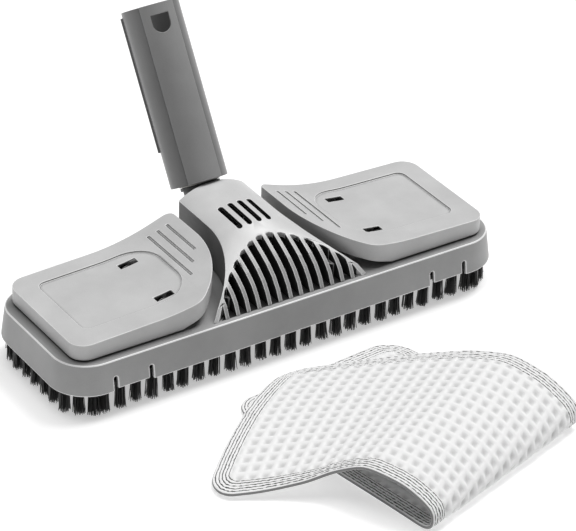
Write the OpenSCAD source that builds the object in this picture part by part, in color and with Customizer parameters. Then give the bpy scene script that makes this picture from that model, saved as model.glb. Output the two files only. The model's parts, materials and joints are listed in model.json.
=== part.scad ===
// Floor head of a steam mop: a bristled, clamp-fitted cleaning head on a hinged neck
// socket, with its loose waffle cloth. Millimetres, +Z up, origin on the floor under
// the middle of the head, +X along the head, +Y to the rear, where the neck leans.

/* [Head] */
// Length of the head at the bottom edge of its wall
head_l = 290; // [270:1:350]
// Depth of the head, front to rear, at the bottom edge of its wall
head_w = 95.5; // [92:0.5:115]
// Height of the side wall
wall_h = 18.5; // [16:0.5:24]
// How far the wall leans in from its bottom edge to the deck
wall_draft = 2.5; // [0.5:0.1:4]
// Corner radius at the bottom edge of the wall
corner_r = 23.5; // [16:0.5:28]
// Thickness of the side wall
wall_t = 2.5; // [2:0.1:4]
// Thickness of the top deck
deck_t = 2.5; // [2:0.1:3.5]
// Width of the slits beside each snap tab
slit_w = 2.4; // [1:0.1:3]
// Height of those slits, up to the round of their tops
slit_h = 7.5; // [5:0.5:10]
// Distance of the snap tabs from the middle of the head
tab_x = 104.7; // [95:0.1:115]
// Width of each snap tab
tab_w = 20; // [14:0.2:26]
// How far each snap tab stops short of the bottom edge of the wall
tab_up = 1.2; // [0:0.1:2]

/* [Brush] */
// How far the bristles stand out below the wall
bristle_out = 15; // [10:0.5:20]
// Radius of one tuft
tuft_r = 2.6; // [1.5:0.1:3]
// Spacing of the tufts along the straight rows
tuft_pitch = 10.1; // [8:0.1:14]
// Thickness of the brush plate
plate_t = 3; // [2.5:0.1:4]
// How far the brush plate sits above the bottom edge of the wall
plate_up = 2; // [1:0.5:3]
// Radius of the steam outlets in the brush plate
outlet_r = 2; // [1:0.1:3]

/* [Steam chamber] */
// Length of the steam chamber
chamber_l = 150; // [120:1:156]
// Depth of the steam chamber
chamber_w = 76; // [72:1:80]
// Height of the steam chamber
chamber_h = 7.5; // [6:0.5:8]
// Wall of the steam chamber
chamber_t = 2; // [1.5:0.1:3]
// Thickness of the chamber's gasket
gasket_t = 1; // [0.8:0.1:1.5]

/* [Clamps] */
// Distance from the deck's rim to the outer end of a clamp
clamp_end_gap = 6.5; // [5:0.5:12]
// Distance from the deck's rim to the front and rear edges of a clamp
clamp_side_gap = 5.3; // [4:0.1:9]
// Distance of the inner edge of a clamp from the middle of the head
clamp_inner_x = 29.5; // [28:0.5:34]
// Radius of the sweep that forms the inner front edge of a clamp
clamp_sweep_r = 62; // [58:1:68]
// Where that sweep begins, measured from the middle towards the rear
sweep_y = 12; // [8:0.5:14]
// Height of the clamp's top at its outer end, above the deck
clamp_h = 10.5; // [9:0.5:13]
// Slope of the outer, flat part of the clamp's top
flat_slope = 2; // [0:0.5:3]
// Slope of the raised thumb end of the clamp's top
thumb_slope = 19; // [14:0.5:20]
// Radius of the bend between the two slopes
bend_r = 140; // [110:5:160]
// Thickness of the clamp's top plate
clamp_t = 2.2; // [1.8:0.1:2.6]
// Thickness of the clamp's skirt
skirt_t = 2.2; // [1.6:0.1:3]
// Gap between the closed clamp's skirt and the deck, where the cloth is gripped
cloth_gap = 1.2; // [0.4:0.1:1.5]
// Distance of the clamp's hinge pin from the middle of the head
pin_x = 69.5; // [66:0.5:74]
// Height of the hinge pin above the deck
pin_h = 6.5; // [6:0.1:7]
// Radius of the hinge pin
pin_r = 2; // [1.5:0.1:2.2]
// How far a clamp opens
clamp_open = 15; // [10:1:15]
// Depth of the shallow panel in the clamp's top
panel_depth = 1.1; // [0.4:0.1:1.2]
// Number of thumb grooves
groove_count = 3; // [2:1:3]

/* [Vented cover] */
// Gap between the clamp and the cover
cover_gap = 8; // [7:0.5:10]
// Radius of the cover's swept side, seen from above
cover_sweep_r = 64; // [62:0.5:70]
// Height of the cover's crown at the rear, above the deck
crown_h = 33; // [32:0.5:38]
// Wall of the cover
cover_t = 2.2; // [1.8:0.1:2.6]
// Distance from the deck's rim to the toe of the cover
toe_gap = 3.2; // [2.5:0.1:6]
// Distance from the deck's rim to the rear edge of the cover
tail_gap = 1.3; // [1.3:0.1:3]
// Number of ribs in the vent
rib_count = 13; // [9:2:15]
// Spacing of the ribs
rib_pitch = 6.94; // [6:0.02:7.2]
// Thickness of a rib
rib_t = 2.4; // [1.6:0.1:3]
// Depth of a rib, front to back
rib_depth = 7; // [4:0.5:9]
// How far the middle of the vent runs back from the toe
vent_run = 30; // [24:0.5:32]

/* [Neck] */
// Outer radius of the neck tube
tube_r = 17; // [16:0.25:19]
// Wall of the neck tube
tube_t = 2.4; // [2:0.1:3]
// Length of the neck tube
tube_l = 105; // [80:1:160]
// Depth of the socket in the tube's mouth, down to its stop
socket_depth = 41; // [30:1:42]
// Backward tilt of the neck at rest
neck_tilt = 32; // [30:0.5:36]
// Turn of the neck about its own axis at rest
neck_turn = -13; // [-25:1:25]
// How far the neck tilts further back
tilt_range = 36; // [20:1:36]
// Distance from the deck's rim back to the middle of the tube's foot
foot_out = 11.25; // [10.5:0.25:14]
// Height of the middle of the tube's foot above the deck
foot_h = 26.5; // [26:0.5:29]
// Distance from the deck's rim forward to the tilt axle
axle_in = 12.25; // [12:0.25:14]
// Height of the tilt axle above the deck
axle_h = 16.5; // [16:0.5:17.5]
// Radius of the tilt axle
axle_r = 5; // [4:0.1:5.5]
// Radius of the swivel spigot
spigot_r = 10.5; // [9.5:0.1:11]
// Outer radius of the steam pipe
pipe_r = 4.6; // [4:0.1:5]
// Wall of the steam pipe
pipe_t = 1.4; // [1:0.1:1.8]
// Length of the steam pipe above the tube's foot
pipe_l = 62; // [40:1:75]
// Half angle of the front panel
panel_half = 37; // [25:1:45]
// Width of the latch hole
latch_w = 10.8; // [8:0.2:13]
// Distance from the mouth of the tube to the latch hole
latch_in = 6.3; // [4:0.1:12]

/* [Cloth] */
// Width of the cloth, along its fold
cloth_w = 124; // [100:1:130]
// Length of each half of the folded cloth
cloth_run = 136; // [120:1:138]
// Distance from the head's front rim to the middle of the fold
cloth_out = 160; // [158:1:180]
// Shift of the fold's middle along the head
cloth_shift = 31; // [0:1:60]
// Angle between the fold and the head
cloth_turn = 17; // [5:1:25]
// Lean of the lower layer away from square to the fold
lower_lean = -3; // [-6:1:6]
// Turn of the lower layer's far hem from the fold
lower_turn = -12; // [-15:1:0]
// Lean of the upper layer away from square to the fold
upper_lean = 25; // [15:1:30]
// Turn of the upper layer's far hem from the fold
upper_turn = 21; // [10:1:25]
// How far the upper layer's right edge bows out
right_bow = 26; // [10:1:30]
// How far the upper layer's left edge bows in
left_bow = 9; // [0:1:15]
// Thickness of one layer with its relief and air
layer_t = 3.5; // [2:0.1:5]
// Height of the loop behind the fold
loop_h = 25; // [14:0.5:30]
// How far back the loop reaches at its left end
loop_left = 66; // [50:1:80]
// How far back the loop reaches at its right end
loop_right = 112; // [90:1:120]

/* [Hidden] */

$fn = 64;
eps = 0.01;
slip = 0.05;      // radial clearance of a running fit
seat = 0.02;      // radial clearance of a fixed fit
lift = 0.3;       // clearance between faces that turn past each other

// Head
base_z = bristle_out;
deck_z = base_z + wall_h;
rim_x = head_l / 2 - wall_draft;
rim_y = head_w / 2 - wall_draft;
corner_cx = head_l / 2 - corner_r;
corner_cy = head_w / 2 - corner_r;
under_deck = deck_z - deck_t;

// Brush plate, gasket and chamber, stacked under the deck
plate_z = base_z + plate_up;
plate_top = plate_z + plate_t;
chamber_z = plate_top + gasket_t;
chamber_top = chamber_z + chamber_h;
plate_in = wall_t + wall_draft * (plate_up + plate_t) / (wall_h - deck_t) + 0.2;
row_in = wall_t + tuft_r + 0.5;
row_y = head_w / 2 - row_in;
row_x = head_l / 2 - row_in;
row_corner_r = corner_r - row_in;
row_n = floor(corner_cx / tuft_pitch);
side_n = floor(corner_cy / tuft_pitch);
inner_n = 5;
corner_tufts = [18, 45, 72];
post_r = 4;
post_y = corner_cy + 1;
post_x = corner_cx + 4;
mid_post_x = chamber_l / 2 + 13;
pilot_r = 1.4;
pilot_l = 8;
hole_play = 0.2;
head_r = 2.7;     // head of the larger screws
head_h = 1.6;
chamber_r = 6;
pad_r = 4;
inlet_r = 3.5;
inlet_bore = 2.4;
inlet_up = 6;
screw_posts = [[post_x, post_y], [post_x, -post_y], [-post_x, post_y], [-post_x, -post_y],
               [mid_post_x, 0], [-mid_post_x, 0]];

// Clamps
clamp_outer_x = rim_x - clamp_end_gap;
clamp_half_w = rim_y - clamp_side_gap;
sweep_x = clamp_inner_x + clamp_sweep_r;
clamp_low = deck_z + cloth_gap;
clamp_top = deck_z + clamp_h;
bend_x = pin_x + 14.5;
thumb_rise = 17;
pin_z = deck_z + pin_h;
lug_y = 19.7;
lug_t = 4;
lug_r = 3.6;
notch_l = 11.2;
notch_w = lug_t + 2 * lift;
ear_t = 3;
ear_r = 3.8;
ears = [-5.6, 6.2];  // middles of the two ears beside a lug, from the lug's middle
pin_half = lug_y + 9.5;
seat_x = pin_x + 12;
seat_l = 6;
seat_w = 16;
spring_wire = 0.7;
spring_r = pin_r + 1.2;
spring_turns = 5;
spring_leg_x = 2;
groove_w = 1.6;
groove_pitch = 6.1;
groove_x = clamp_inner_x + 7.6;

// Vented cover
cover_half = clamp_inner_x - cover_gap;
cover_sweep_x = cover_half + cover_sweep_r;
toe_y = -(rim_y - toe_gap);
tail_y = rim_y - tail_gap;
rear_boss = [cover_half - 4.3, sweep_y];
front_boss = [(rib_count - 3) / 2 * rib_pitch, toe_y + 11];
boss_r = 3.2;
boss_h = 8;

// Neck
axle_y = rim_y - axle_in;
axle_z = deck_z + axle_h;
foot_y = rim_y + foot_out;
foot_z = deck_z + foot_h;
barrel_half = 9;
barrel_r = 8.5;
arm_half = 5.8;
block_in = barrel_half + lift;
block_t = 8;
block_w = 9;
cap_h = 8.5;
cap_screw_y = 7.2;
cap_screw_r = 1;
port_r = 1.1;
axle_half = block_in + block_t - 0.4;
duct_x = block_in + block_t / 2;
end_wall = 3.5;
bush_r = spigot_r + slip + 1.5;
spigot_top = 5;
inner_r = tube_r - tube_t;
socket_r = inner_r + 0.4;
groove_depth = 0.8;
shaft_bore = 2.6;
ring_t = 2;
ring_screw_at = spigot_r - 2.5;
ring_screw_r = 0.9;
ring_screws = [90, 210, 330];
pipe_play = 0.7;
pipe_seal_r = 0.66;
pipe_seals_z = [-2, pipe_l - 4];
web_t = 3.6;      // web inside the tube that holds the steam pipe
web_z = end_wall + 11;
panel_seat = 1.15;
seam_angle = 104; // seams of the tube, from the middle of its front
seam_z = 22;

// ---------- shared shapes ----------

function arc(c, r, a0, a1, n = 16) =
    [for (i = [0:n]) let (a = a0 + (a1 - a0) * i / n) [c[0] + r * cos(a), c[1] + r * sin(a)]];

// A block with rounded corners whose sides lean in by draft over its height
module drafted_block(half_l, half_w, r, draft, h) {
    hull()
        for (x = [-1, 1], y = [-1, 1])
            translate([x * (half_l - r), y * (half_w - r), 0])
                cylinder(h = h, r1 = r, r2 = r - draft);
}

// A plate with rounded corners
module rounded_plate(half_l, half_w, r, h) {
    for (x = [-1, 1], y = [-1, 1])
        translate([x * (half_l - r), y * (half_w - r), 0]) cylinder(h = h, r = r);
    translate([-half_l + r, -half_w, 0]) cube([2 * (half_l - r), 2 * half_w, h]);
    translate([-half_l, -half_w + r, 0]) cube([2 * half_l, 2 * (half_w - r), h]);
}

// A profile drawn in X and Z, run along Y between two values
module along_y(y0, y1) {
    translate([0, y1, 0]) rotate([90, 0, 0]) linear_extrude(y1 - y0) children();
}

// A profile drawn in Y and Z, run along X between two values
module along_x(x0, x1) {
    translate([x0, 0, 0]) rotate([90, 0, 90]) linear_extrude(x1 - x0) children();
}

// Places its children with the tube's axis as Z and the middle of the tube's foot as origin
module at_foot(turn = 0) {
    translate([0, foot_y, foot_z]) rotate([-neck_tilt, 0, 0]) rotate([0, 0, turn]) children();
}

module ring(r_out, r_in, h) {
    difference() {
        cylinder(h = h, r = r_out);
        translate([0, 0, -1]) cylinder(h = h + 2, r = r_in);
    }
}

module torus(major, minor) {
    rotate_extrude() translate([major, 0]) circle(r = minor, $fn = 24);
}

// A pan-head screw pointing up, its head's underside at z = 0
module screw(shank_r, shank_l, head_r, head_h) {
    cylinder(h = shank_l, r = shank_r);
    difference() {
        translate([0, 0, -head_h]) cylinder(h = head_h, r = head_r);
        for (a = [0, 90])
            rotate([0, 0, a]) translate([-head_r * 0.6, -0.35, -head_h - 1]) cube([head_r * 1.2, 0.7, 1.8]);
    }
}

// ---------- head ----------

module base_housing() {
    color([0.56, 0.56, 0.56]) {
        difference() {
            translate([0, 0, base_z])
                drafted_block(head_l / 2, head_w / 2, corner_r, wall_draft, wall_h);
            translate([0, 0, base_z - eps])
                drafted_block(head_l / 2 - wall_t, head_w / 2 - wall_t, corner_r - wall_t,
                              wall_draft, wall_h - deck_t + eps);
            for (x = [-1, 1], y = [-1, 1])
                translate([x * tab_x, y * head_w / 2, base_z]) tab_cut();
            for (x = [-1, 1], b = [rear_boss, front_boss])
                translate([x * b[0], b[1], under_deck - 1]) cylinder(h = deck_t + 2, r = pilot_r + hole_play);
            translate([duct_x, axle_y, under_deck - 1]) cylinder(h = deck_t + 2, r = inlet_r + seat);
        }
        for (p = screw_posts)
            difference() {
                translate([p[0], p[1], plate_top]) cylinder(h = under_deck - plate_top + eps, r = post_r);
                translate([p[0], p[1], plate_top - 1]) cylinder(h = pilot_l + 1, r = pilot_r);
            }
        for (s = [-1, 1]) {
            bearing_block(s);
            clamp_lugs(s);
        }
    }
}

// What is cut away beside and below one snap tab in the wall
module tab_cut() {
    for (s = [-1, 1])
        translate([s * (tab_w + slit_w) / 2, 0, 0]) {
            translate([-slit_w / 2, -2 * wall_t, -1]) cube([slit_w, 4 * wall_t, slit_h + 1]);
            translate([0, 2 * wall_t, slit_h]) rotate([90, 0, 0]) cylinder(h = 4 * wall_t, r = slit_w / 2);
        }
    translate([-tab_w / 2 - eps, -2 * wall_t, -1]) cube([tab_w + 2 * eps, 4 * wall_t, tab_up + 1]);
}

// Block on the deck that carries the lower half of one axle bearing
module bearing_block(s) {
    difference() {
        translate([s > 0 ? block_in : -block_in - block_t, axle_y - block_w, deck_z - eps])
            cube([block_t, 2 * block_w, axle_h + eps]);
        translate([-3 * block_in, axle_y, axle_z]) rotate([0, 90, 0])
            cylinder(h = 6 * block_in, r = axle_r + slip);
        for (y = [-1, 1])
            translate([s * duct_x, axle_y + y * cap_screw_y, axle_z - 6]) cylinder(h = 7, r = cap_screw_r);
        if (s > 0)
            translate([duct_x, axle_y, deck_z - 1]) cylinder(h = axle_h + 1, r = inlet_bore);
        if (s > 0)
            translate([duct_x, axle_y, deck_z - 1]) cylinder(h = inlet_up + 1, r = inlet_r + seat);
    }
}

// The two lugs that hold one clamp's hinge pin, with the seat of its spring
module clamp_lugs(s) {
    for (y = [-1, 1])
        difference() {
            union() {
                translate([s * pin_x, y * lug_y + lug_t / 2, pin_z]) rotate([90, 0, 0])
                    cylinder(h = lug_t, r = lug_r);
                translate([s * pin_x - lug_r, y * lug_y - lug_t / 2, deck_z - eps])
                    cube([2 * lug_r, lug_t, pin_h + eps]);
            }
            translate([s * pin_x, y * lug_y + lug_t, pin_z]) rotate([90, 0, 0])
                cylinder(h = 2 * lug_t, r = pin_r + seat);
        }
    translate([s * seat_x - seat_l / 2, -seat_w / 2, deck_z - eps])
        cube([seat_l, seat_w, pin_h - spring_r - spring_wire + eps]);
}

module brush_plate() {
    color([0.2, 0.2, 0.2])
        difference() {
            translate([0, 0, plate_z])
                rounded_plate(head_l / 2 - plate_in, head_w / 2 - plate_in, corner_r - plate_in, plate_t);
            for (p = screw_posts)
                translate([p[0], p[1], plate_z - 1]) cylinder(h = plate_t + 2, r = pilot_r + hole_play);
            for (x = [-4.5:1:4.5], y = [-1, 1])
                translate([x * chamber_l / 12, y * chamber_w / 12, plate_z - 1])
                    cylinder(h = plate_t + 2, r = outlet_r);
        }
}

module tuft(x, y) {
    translate([x, y, 0]) cylinder(h = plate_z, r = tuft_r, $fn = 16);
}

module bristle_row(s) {
    for (i = [-row_n:row_n])
        tuft(i * tuft_pitch, s * row_y);
}

module bristle_end(s) {
    for (i = [-side_n:side_n])
        tuft(s * row_x, i * tuft_pitch);
    for (y = [-1, 1], a = corner_tufts)
        tuft(s * (corner_cx + row_corner_r * cos(a)), y * (corner_cy + row_corner_r * sin(a)));
}

module bristles_front() {
    color([0.08, 0.08, 0.08]) bristle_row(-1);
}

module bristles_rear() {
    color([0.08, 0.08, 0.08]) bristle_row(1);
}

module bristles_left_end() {
    color([0.08, 0.08, 0.08]) bristle_end(-1);
}

module bristles_right_end() {
    color([0.08, 0.08, 0.08]) bristle_end(1);
}

module bristles_inner() {
    color([0.08, 0.08, 0.08])
        for (i = [-inner_n:inner_n])
            tuft(i * 2 * tuft_pitch, 0);
}

module steam_chamber() {
    color([0.8, 0.8, 0.78])
        difference() {
            union() {
                translate([0, 0, chamber_z]) rounded_plate(chamber_l / 2, chamber_w / 2, chamber_r, chamber_h);
                for (x = [-1, 1], y = [-1, 1])
                    translate([x * (chamber_l / 2 - 2 * pad_r), y * (chamber_w / 2 - 3 * pad_r), chamber_top - eps])
                        cylinder(h = under_deck - chamber_top + eps, r = pad_r);
            }
            translate([0, 0, chamber_z - eps])
                rounded_plate(chamber_l / 2 - chamber_t, chamber_w / 2 - chamber_t, chamber_r - chamber_t,
                              chamber_h - chamber_t + eps);
            translate([duct_x, axle_y, chamber_top - chamber_t - 1])
                cylinder(h = chamber_t + 3, r = inlet_r + seat);
        }
}

module chamber_gasket() {
    color([0.85, 0.45, 0.2])
        difference() {
            translate([0, 0, plate_top]) rounded_plate(chamber_l / 2, chamber_w / 2, chamber_r, gasket_t);
            translate([0, 0, plate_top - 1])
                rounded_plate(chamber_l / 2 - chamber_t, chamber_w / 2 - chamber_t, chamber_r - chamber_t,
                              gasket_t + 2);
        }
}

module steam_inlet() {
    color([0.75, 0.65, 0.4])
        translate([duct_x, axle_y, chamber_top - chamber_t])
            ring(inlet_r, inlet_bore, deck_z + inlet_up - (chamber_top - chamber_t));
}

module plate_screws() {
    color([0.7, 0.7, 0.72])
        for (p = screw_posts)
            translate([p[0], p[1], plate_z]) screw(pilot_r - seat, plate_t + pilot_l, head_r, head_h);
}

// ---------- vented cover ----------

// Loft stations of the cover: distance back from the toe, half width, then the heights of
// its crown and of its edge above the deck
stations = [
    [0, cover_half + 31, 0, 0],
    [0.3, cover_half + 30.5, 0.9, 0.6],
    [3.1, cover_half + 26, 6.8, 6.4],
    [7.8, cover_half + 21, 12.9, 10.9],
    [13.6, cover_half + 16, 17.7, 14.9],
    [19.4, cover_half + 11.5, 21.2, 17.9],
    [31.6, cover_half + 5.5, 27.7, 22.3],
    [40.6, cover_half + 3, crown_h - 2, crown_h - 9],
    [tail_y - toe_y, cover_half + 1, crown_h, crown_h - 7]
];

// Height of a crown arc at x, for a rise over a half width
function crown_arc(x, half, top, edge) =
    let (rise = top - edge, r = (half * half + rise * rise) / (2 * max(rise, 0.05)))
    top - (r - sqrt(r * r - x * x));

// The cover's whole outer form before its sides are cut, sunk by a depth
module cover_form(depth = 0) {
    hull()
        for (s = stations)
            translate([0, toe_y + s[0] + depth, -depth])
                along_y(0, eps)
                    polygon(concat([[s[1], deck_z - 6], [-s[1], deck_z - 6]],
                        [for (i = [-6:6]) let (x = s[1] * i / 6) [x, deck_z + crown_arc(x, s[1], s[2], s[3])]]));
}

// Plan of the cover, drawn in by an amount, from the toe to past its tail
module cover_plan(in = 0, rear = 0) {
    r = cover_sweep_r + in;
    a = asin((sweep_y - toe_y) / r);
    right = arc([cover_sweep_x, sweep_y], r, 180, 180 + a);
    left = [for (i = [len(right) - 1:-1:0]) [-right[i][0], right[i][1]]];
    translate([0, 0, deck_z])
        linear_extrude(80)
            polygon(concat([[-right[0][0], tail_y + rear], [right[0][0], tail_y + rear]], right, left));
}

// How far back the vent reaches at x, from the toe
function vent_reach(x) = vent_run * (1 - pow(min(1, abs(x) / (rib_count * rib_pitch / 2 + 1.3)), 1.85));

// Vent slots between ribs, each ending along the arch of the vent
module vent_slots() {
    gap = rib_pitch - rib_t;
    for (i = [0:rib_count]) {
        x = (i - rib_count / 2) * rib_pitch;
        translate([0, toe_y, deck_z - 1])
            linear_extrude(80)
                polygon([[x - gap / 2, -6], [x + gap / 2, -6],
                         [x + gap / 2, max(0.5, vent_reach(x + gap / 2))], [x, vent_reach(x) + 0.6],
                         [x - gap / 2, max(0.5, vent_reach(x - gap / 2))]]);
    }
}

// Four crown slots with round ends
module crown_slots() {
    w = 3.3;
    for (i = [-1.5:1:1.5])
        translate([i * 6.35, 0, deck_z + 5])
            linear_extrude(60) {
                translate([-w / 2, toe_y + vent_run + 10]) square([w, 20]);
                translate([0, toe_y + vent_run + 10]) circle(d = w);
                translate([0, toe_y + vent_run + 30]) circle(d = w);
            }
}

// Fins behind the vent, one under each rib, as deep as the rib
module rib_fins() {
    difference() {
        for (i = [0:rib_count - 1]) {
            x = (i - (rib_count - 1) / 2) * rib_pitch;
            translate([x - rib_t / 2, toe_y - 1, deck_z - 1]) cube([rib_t, vent_reach(x) + 3, 60]);
        }
        cover_form(rib_depth);
    }
}

module vented_cover() {
    color([0.86, 0.86, 0.86])
        difference() {
            union() {
                difference() {
                    intersection() {
                        cover_form();
                        cover_plan();
                    }
                    difference() {
                        intersection() {
                            cover_form(cover_t);
                            translate([0, 0, -1]) cover_plan(cover_t, 2);
                        }
                        rib_fins();
                    }
                    vent_slots();
                    crown_slots();
                }
                for (x = [-1, 1], b = [rear_boss, front_boss])
                    translate([x * b[0], b[1], deck_z]) cylinder(h = boss_h, r = boss_r);
            }
            for (x = [-1, 1], b = [rear_boss, front_boss])
                translate([x * b[0], b[1], deck_z - 1]) cylinder(h = boss_h, r = pilot_r);
        }
}

module cover_screws() {
    color([0.7, 0.7, 0.72])
        for (x = [-1, 1], b = [rear_boss, front_boss])
            translate([x * b[0], b[1], under_deck]) screw(pilot_r - seat, deck_t + boss_h - 2, head_r, head_h);
}

// ---------- tilt bearing ----------

module bearing_cap(s) {
    color([0.5, 0.5, 0.5])
        difference() {
            translate([s > 0 ? block_in : -block_in - block_t, axle_y - block_w, axle_z])
                cube([block_t, 2 * block_w, cap_h]);
            translate([-3 * block_in, axle_y, axle_z]) rotate([0, 90, 0])
                cylinder(h = 6 * block_in, r = axle_r + slip);
            for (y = [-1, 1])
                translate([s * duct_x, axle_y + y * cap_screw_y, axle_z - 1])
                    cylinder(h = cap_h + 2, r = cap_screw_r + hole_play);
        }
}

module bearing_cap_left() {
    bearing_cap(-1);
}

module bearing_cap_right() {
    bearing_cap(1);
}

module bearing_cap_screws() {
    color([0.7, 0.7, 0.72])
        for (x = [-1, 1], y = [-1, 1])
            translate([x * duct_x, axle_y + y * cap_screw_y, axle_z + cap_h])
                rotate([180, 0, 0]) screw(cap_screw_r - seat, cap_h + 5, 1.7, 1.2);
}

module tilt_axle() {
    color([0.75, 0.65, 0.4])
        difference() {
            translate([-axle_half, axle_y, axle_z]) rotate([0, 90, 0]) ring_shaft(2 * axle_half);
            translate([0, axle_y, axle_z]) rotate([-90, 0, 0]) cylinder(h = axle_r + 2, r = 2);
            translate([duct_x, axle_y, axle_z - axle_r - 2]) cylinder(h = axle_r + 2, r = port_r);
        }
}

// The axle's grooved, hollow shaft, closed at its left end
module ring_shaft(l) {
    difference() {
        cylinder(h = l, r = axle_r);
        translate([0, 0, 3]) cylinder(h = l - 5, r = shaft_bore);
        for (z = seal_places(l))
            translate([0, 0, z - 0.8]) ring(axle_r + 1, axle_r - groove_depth, 1.6);
    }
}

function seal_places(l) = [axle_half + block_in + 1.2, l - 1.6];

module axle_seals() {
    color([0.15, 0.15, 0.15])
        for (z = seal_places(2 * axle_half))
            translate([z - axle_half, axle_y, axle_z]) rotate([0, 90, 0])
                torus(axle_r - groove_depth + 0.4, 0.4);
}

// ---------- clamps ----------

// Height of the clamp's top where the slope has reached an angle
function bend_point(a) = [
    bend_x - bend_r * (sin(a) - sin(flat_slope)),
    clamp_top + (clamp_outer_x - bend_x) * tan(flat_slope) + bend_r * (cos(flat_slope) - cos(a))
];

// The clamp's top line from beyond its outer end to beyond its thumb end
function clamp_line() =
    let (last = bend_point(thumb_slope), out = clamp_outer_x + 10)
    concat([[out, clamp_top - 10 * tan(flat_slope)]],
           [for (i = [0:12]) bend_point(flat_slope + (thumb_slope - flat_slope) * i / 12)],
           [[10, last[1] + (last[0] - 10) * tan(thumb_slope)]]);

// Everything under the clamp's top line, lowered by a depth, and above its lower edge
module clamp_side(depth = 0, low = clamp_low) {
    along_y(-clamp_half_w - 1, clamp_half_w + 1)
        polygon(concat([for (p = clamp_line()) [p[0], p[1] - depth]],
                       [[10, low + (pin_x - 10) * tan(thumb_rise)], [pin_x, low], [clamp_outer_x + 10, low]]));
}

// Plan of the right clamp, drawn in by an amount
module clamp_plan(in = 0) {
    rear_r = 5 - min(in, 3);
    end_r = 10 - in;
    toe_r = 14 - in;
    r = clamp_sweep_r - in;
    x0 = clamp_inner_x + in;
    x1 = clamp_outer_x - in;
    y1 = clamp_half_w - in;
    toe_c = [sweep_x - sqrt(pow(r - toe_r, 2) - pow(y1 - toe_r + sweep_y, 2)), toe_r - y1];
    toe_a = atan2(toe_c[1] - sweep_y, toe_c[0] - sweep_x) + 360;
    linear_extrude(90)
        polygon(concat(arc([x0 + rear_r, y1 - rear_r], rear_r, 90, 180, 6),
                       arc([sweep_x, sweep_y], r, 180, toe_a, 20),
                       arc(toe_c, toe_r, toe_a, 270, 8),
                       arc([x1 - end_r, end_r - y1], end_r, -90, 0, 8),
                       arc([x1 - end_r, y1 - end_r], end_r, 0, 90, 8)));
}

// Plan of the shallow panel in the clamp's top
module panel_plan() {
    x1 = clamp_outer_x - 13;
    x0 = clamp_inner_x + 24;
    y1 = clamp_half_w - 11;
    y0 = 14.5 - clamp_half_w;
    r_in = 18;
    linear_extrude(90)
        polygon(concat(arc([x0 + r_in, y1 - r_in], r_in, 90, 180, 10),
                       arc([x0 + r_in, y0 + r_in], r_in, 180, 270, 10),
                       arc([x1 - 5, y0 + 5], 5, -90, 0, 6),
                       arc([x1 - 5, y1 - 5], 5, 0, 90, 6)));
}

module clamp_shell() {
    difference() {
        intersection() {
            clamp_plan();
            clamp_side();
        }
        intersection() {
            clamp_plan(skirt_t);
            clamp_side(clamp_t, clamp_low - 20);
        }
        difference() {
            intersection() {
                panel_plan();
                clamp_side(-5);
            }
            clamp_side(panel_depth, clamp_low - 20);
        }
        for (y = [-1, 1])
            translate([pin_x - notch_l / 2, y * lug_y - notch_w / 2, clamp_low + 6]) cube([notch_l, notch_w, 30]);
        for (i = [0:groove_count - 1])
            thumb_groove(groove_x + i * groove_pitch, 0.7 - 8.3 * i);
    }
    for (y = [-1, 1], e = ears)
        clamp_ear(y * (lug_y + e));
}

// A groove along Y in the clamp's top, from the rear to y_front
module thumb_groove(x, y_front) {
    difference() {
        translate([x - groove_w / 2, y_front, deck_z]) cube([groove_w, clamp_half_w - 8.5 - y_front, 60]);
        clamp_side(1, clamp_low - 20);
    }
}

// An ear under the clamp's plate, bored for the hinge pin
module clamp_ear(y) {
    difference() {
        intersection() {
            union() {
                translate([pin_x, y + ear_t / 2, pin_z]) rotate([90, 0, 0]) cylinder(h = ear_t, r = ear_r);
                translate([pin_x - ear_r, y - ear_t / 2, pin_z]) cube([2 * ear_r, ear_t, 20]);
            }
            clamp_side(clamp_t / 2, clamp_low);
        }
        translate([pin_x, y + ear_t, pin_z]) rotate([90, 0, 0]) cylinder(h = 2 * ear_t, r = pin_r + slip);
    }
}

module clamp_right() {
    color([0.76, 0.76, 0.76]) clamp_shell();
}

module clamp_left() {
    color([0.76, 0.76, 0.76]) mirror([1, 0, 0]) clamp_shell();
}

module clamp_pin(s) {
    color([0.72, 0.72, 0.74])
        translate([s * pin_x, pin_half, pin_z]) rotate([90, 0, 0]) cylinder(h = 2 * pin_half, r = pin_r);
}

module clamp_pin_left() {
    clamp_pin(-1);
}

module clamp_pin_right() {
    clamp_pin(1);
}

// A torsion spring round the pin: its coil, a leg on the deck's seat and a leg under the clamp
module clamp_spring(s) {
    last = spring_turns - 1;
    places = [for (i = [0:last]) (i - last / 2) * 1.8 * spring_wire];
    color([0.72, 0.72, 0.74]) {
        translate([s * pin_x, 0, pin_z]) rotate([90, 0, 0])
            rotate_extrude($fn = 32)
                polygon(concat([for (z = places) each arc([spring_r, z], spring_wire, -64, 64, 4)],
                               [for (z = places) each arc([spring_r, -z], spring_wire, 116, 244, 4)]));
        translate([s * (pin_x + spring_leg_x), places[last], pin_z - spring_r]) rotate([0, s * 90, 0])
            cylinder(h = 12, r = spring_wire);
        translate([s * (pin_x - spring_leg_x), places[0], pin_z + spring_r]) rotate([0, -s * 90, 0])
            cylinder(h = 5, r = spring_wire);
    }
}

module clamp_spring_left() {
    clamp_spring(-1);
}

module clamp_spring_right() {
    clamp_spring(1);
}

// ---------- neck ----------

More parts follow.
